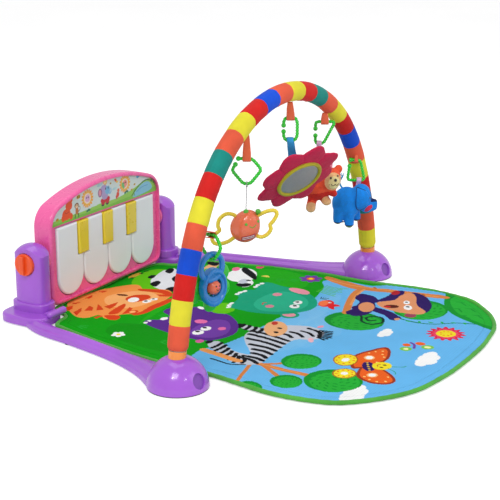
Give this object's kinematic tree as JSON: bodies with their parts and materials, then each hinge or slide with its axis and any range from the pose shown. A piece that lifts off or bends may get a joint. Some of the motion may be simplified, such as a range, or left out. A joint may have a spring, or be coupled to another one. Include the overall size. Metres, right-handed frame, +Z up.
{
  "type": "activity play gym",
  "caption": "Baby play gym: padded floor mat, fabric covered hoop on dome feet with hanging toys, and a tilting kick piano between two posts.",
  "frame": {"origin": "on the floor, midway between the hoop's two dome feet", "axes": "+Z up, +Y from the hoop towards the kick piano, +X to the right when facing the piano"},
  "size_m": [0.787, 0.8214, 0.4405],
  "materials": {
    "purple_plastic": "glossy moulded",
    "pink_plastic": "glossy moulded",
    "orange_plastic": "satin moulded",
    "white_key_plastic": "satin moulded",
    "yellow_key_plastic": "satin moulded",
    "grey_tube_plastic": "extruded",
    "sleeve_fabric": "striped woven polyester",
    "mat_fabric": "printed brushed polyester",
    "piping_fabric": "bias binding",
    "loop_fabric": "woven tape",
    "link_plastic": "glossy moulded",
    "coral_plastic": "glossy moulded",
    "wing_plastic": "glossy moulded",
    "feeler_plastic": "glossy moulded",
    "grey_cord": "braided",
    "crimson_felt": "brushed felt",
    "safety_mirror": "polished film",
    "olive_trim": "satin bias tape",
    "blue_ribbon": "satin ribbon",
    "bear_plush_cloth": "short pile",
    "pink_ribbon": "satin ribbon",
    "elephant_plush_cloth": "short pile",
    "blue_plastic": "glossy moulded",
    "leaf_plastic": "glossy moulded",
    "label_print": "printed film",
    "silicone": "moulded silicone",
    "board_green": "solder mask",
    "speaker_black": "moulded",
    "cell_wrap": "wrapped cell",
    "switch_black": "moulded",
    "screw_steel": "zinc plated",
    "pad_rubber": "moulded"
  },
  "bodies": {
    "base": {"mat": "mat_fabric", "mat_piping": "piping_fabric", "left_rail": "purple_plastic", "right_rail": "purple_plastic", "left_foot_dome": "purple_plastic", "right_foot_dome": "purple_plastic", "left_post": "purple_plastic", "right_post": "purple_plastic", "underside_covers": "purple_plastic", "floor_pads": "pad_rubber", "base_screws": "screw_steel", "leg_collars": "orange_plastic", "arch_leg_tubes": "grey_tube_plastic", "arch_top_tube": "grey_tube_plastic", "arch_sleeve": "sleeve_fabric", "hanging_loops": "loop_fabric"},
    "left_release": {"left_release_button": "purple_plastic"},
    "right_release": {"right_release_button": "purple_plastic"},
    "left_lock": {"left_knob": "orange_plastic", "left_clamp_bolt": "screw_steel"},
    "right_lock": {"right_knob": "orange_plastic", "right_clamp_bolt": "screw_steel"},
    "piano": {"piano_front_shell": "pink_plastic", "piano_rear_shell": "pink_plastic", "label_plate": "label_print", "contact_sheet": "silicone", "circuit_board": "board_green", "speaker": "speaker_black", "batteries": "cell_wrap", "case_screws": "screw_steel"},
    "door": {"battery_door": "pink_plastic"},
    "switch": {"power_switch": "switch_black"},
    "bug": {"bug_body": "coral_plastic", "bug_wings": "wing_plastic", "bug_feelers": "feeler_plastic", "bug_cord": "grey_cord"},
    "flower": {"flower_petals": "crimson_felt", "flower_mirror": "safety_mirror", "mirror_rim": "olive_trim", "flower_strap": "blue_ribbon"},
    "bear": {"bear_plush": "bear_plush_cloth", "bear_ribbon": "pink_ribbon"},
    "elephant": {"elephant_plush": "elephant_plush_cloth", "elephant_ribbon": "pink_ribbon"},
    "rattle": {"rattle_frame": "blue_plastic", "rattle_petals": "leaf_plastic"},
    "rattle_spinner": {"rattle_ball": "coral_plastic"},
    "white_key_1_lever": {"white_key_1": "white_key_plastic"},
    "white_key_2_lever": {"white_key_2": "white_key_plastic"},
    "white_key_3_lever": {"white_key_3": "white_key_plastic"},
    "white_key_4_lever": {"white_key_4": "white_key_plastic"},
    "yellow_key_1_lever": {"yellow_key_1": "yellow_key_plastic"},
    "yellow_key_2_lever": {"yellow_key_2": "yellow_key_plastic"},
    "yellow_key_3_lever": {"yellow_key_3": "yellow_key_plastic"},
    "bug_ring": {"bug_link": "link_plastic"},
    "flower_ring": {"flower_link": "link_plastic"},
    "bear_ring": {"bear_link": "link_plastic"},
    "elephant_ring": {"elephant_link": "link_plastic"},
    "rattle_ring": {"rattle_link": "link_plastic"}
  },
  "joints": [
    {"name": "piano_tilt", "type": "hinge", "parent": "base", "child": "piano", "pos_m": [0, 0.414, 0.105], "axis": [1, 0, 0], "range_deg": [-90, 8]},
    {"name": "left_knob_turn", "type": "hinge", "parent": "base", "child": "left_lock", "pos_m": [-0.224, 0.414, 0.105], "axis": [1, 0, 0], "continuous": true},
    {"name": "left_release_press", "type": "slide", "parent": "base", "child": "left_release", "axis": [0.145, 0.9158, -0.3746], "range_m": [0, 0.003]},
    {"name": "right_knob_turn", "type": "hinge", "parent": "base", "child": "right_lock", "pos_m": [0.224, 0.414, 0.105], "axis": [1, 0, 0], "continuous": true},
    {"name": "right_release_press", "type": "slide", "parent": "base", "child": "right_release", "axis": [0.145, 0.9158, -0.3746], "range_m": [0, 0.003]},
    {"name": "white_key_1_press", "type": "hinge", "parent": "piano", "child": "white_key_1_lever", "pos_m": [0, 0.403, 0.155], "axis": [1, 0, 0], "range_deg": [0, 2.5], "stiffness_Nm_per_rad": 0.5},
    {"name": "white_key_2_press", "type": "hinge", "parent": "piano", "child": "white_key_2_lever", "pos_m": [0, 0.403, 0.155], "axis": [1, 0, 0], "range_deg": [0, 2.5], "stiffness_Nm_per_rad": 0.5},
    {"name": "white_key_3_press", "type": "hinge", "parent": "piano", "child": "white_key_3_lever", "pos_m": [0, 0.403, 0.155], "axis": [1, 0, 0], "range_deg": [0, 2.5], "stiffness_Nm_per_rad": 0.5},
    {"name": "white_key_4_press", "type": "hinge", "parent": "piano", "child": "white_key_4_lever", "pos_m": [0, 0.403, 0.155], "axis": [1, 0, 0], "range_deg": [0, 2.5], "stiffness_Nm_per_rad": 0.5},
    {"name": "yellow_key_1_press", "type": "hinge", "parent": "piano", "child": "yellow_key_1_lever", "pos_m": [0, 0.403, 0.155], "axis": [1, 0, 0], "range_deg": [0, 4], "stiffness_Nm_per_rad": 0.5},
    {"name": "yellow_key_2_press", "type": "hinge", "parent": "piano", "child": "yellow_key_2_lever", "pos_m": [0, 0.403, 0.155], "axis": [1, 0, 0], "range_deg": [0, 4], "stiffness_Nm_per_rad": 0.5},
    {"name": "yellow_key_3_press", "type": "hinge", "parent": "piano", "child": "yellow_key_3_lever", "pos_m": [0, 0.403, 0.155], "axis": [1, 0, 0], "range_deg": [0, 4], "stiffness_Nm_per_rad": 0.5},
    {"name": "power_switch_slide", "type": "slide", "parent": "piano", "child": "switch", "axis": [1, 0, 0], "range_m": [0, 0.006]},
    {"name": "battery_door_open", "type": "hinge", "parent": "piano", "child": "door", "pos_m": [0.046, 0.4343, 0.112], "axis": [-1, 0, 0], "range_deg": [0, 80]},
    {"name": "bug_link_swing", "type": "hinge", "parent": "base", "child": "bug_ring", "pos_m": [-0.129, 0, 0.332], "axis": [0.5158, -0.8567, 0], "range_deg": [-14, 5]},
    {"name": "bug_swing", "type": "hinge", "parent": "bug_ring", "child": "bug", "pos_m": [-0.129, 0, 0.289], "axis": [0.5158, -0.8567, 0], "range_deg": [-14, 5]},
    {"name": "flower_link_swing", "type": "hinge", "parent": "base", "child": "flower_ring", "pos_m": [0.019, 0, 0.377], "axis": [0.5158, -0.8567, 0], "range_deg": [-10, 0]},
    {"name": "flower_swing", "type": "hinge", "parent": "flower_ring", "child": "flower", "pos_m": [0.019, 0, 0.336], "axis": [0.5158, -0.8567, 0], "range_deg": [-10, 0]},
    {"name": "bear_link_swing", "type": "hinge", "parent": "base", "child": "bear_ring", "pos_m": [0.148, 0, 0.348], "axis": [0.5158, -0.8567, 0], "range_deg": [0, 10]},
    {"name": "bear_swing", "type": "hinge", "parent": "bear_ring", "child": "bear", "pos_m": [0.14284, 0.00857, 0.307], "axis": [0.5158, -0.8567, 0], "range_deg": [0, 10]},
    {"name": "elephant_link_swing", "type": "hinge", "parent": "base", "child": "elephant_ring", "pos_m": [0.2577, -0.0116, 0.2563], "axis": [0.5158, -0.8567, 0], "range_deg": [-8, 6]},
    {"name": "elephant_swing", "type": "hinge", "parent": "elephant_ring", "child": "elephant", "pos_m": [0.2608, -0.01674, 0.2163], "axis": [0.5158, -0.8567, 0], "range_deg": [-8, 6]},
    {"name": "rattle_link_swing", "type": "hinge", "parent": "base", "child": "rattle_ring", "pos_m": [-0.24, 0, 0.227], "axis": [0, -1, 0], "range_deg": [-8, 8]},
    {"name": "rattle_swing", "type": "hinge", "parent": "rattle_ring", "child": "rattle", "pos_m": [-0.24, 0, 0.186], "axis": [0, -1, 0], "range_deg": [-8, 8]},
    {"name": "rattle_ball_spin", "type": "hinge", "parent": "rattle", "child": "rattle_spinner", "pos_m": [-0.236, 0, 0.137], "axis": [0, 0, 1], "continuous": true}
  ]
}
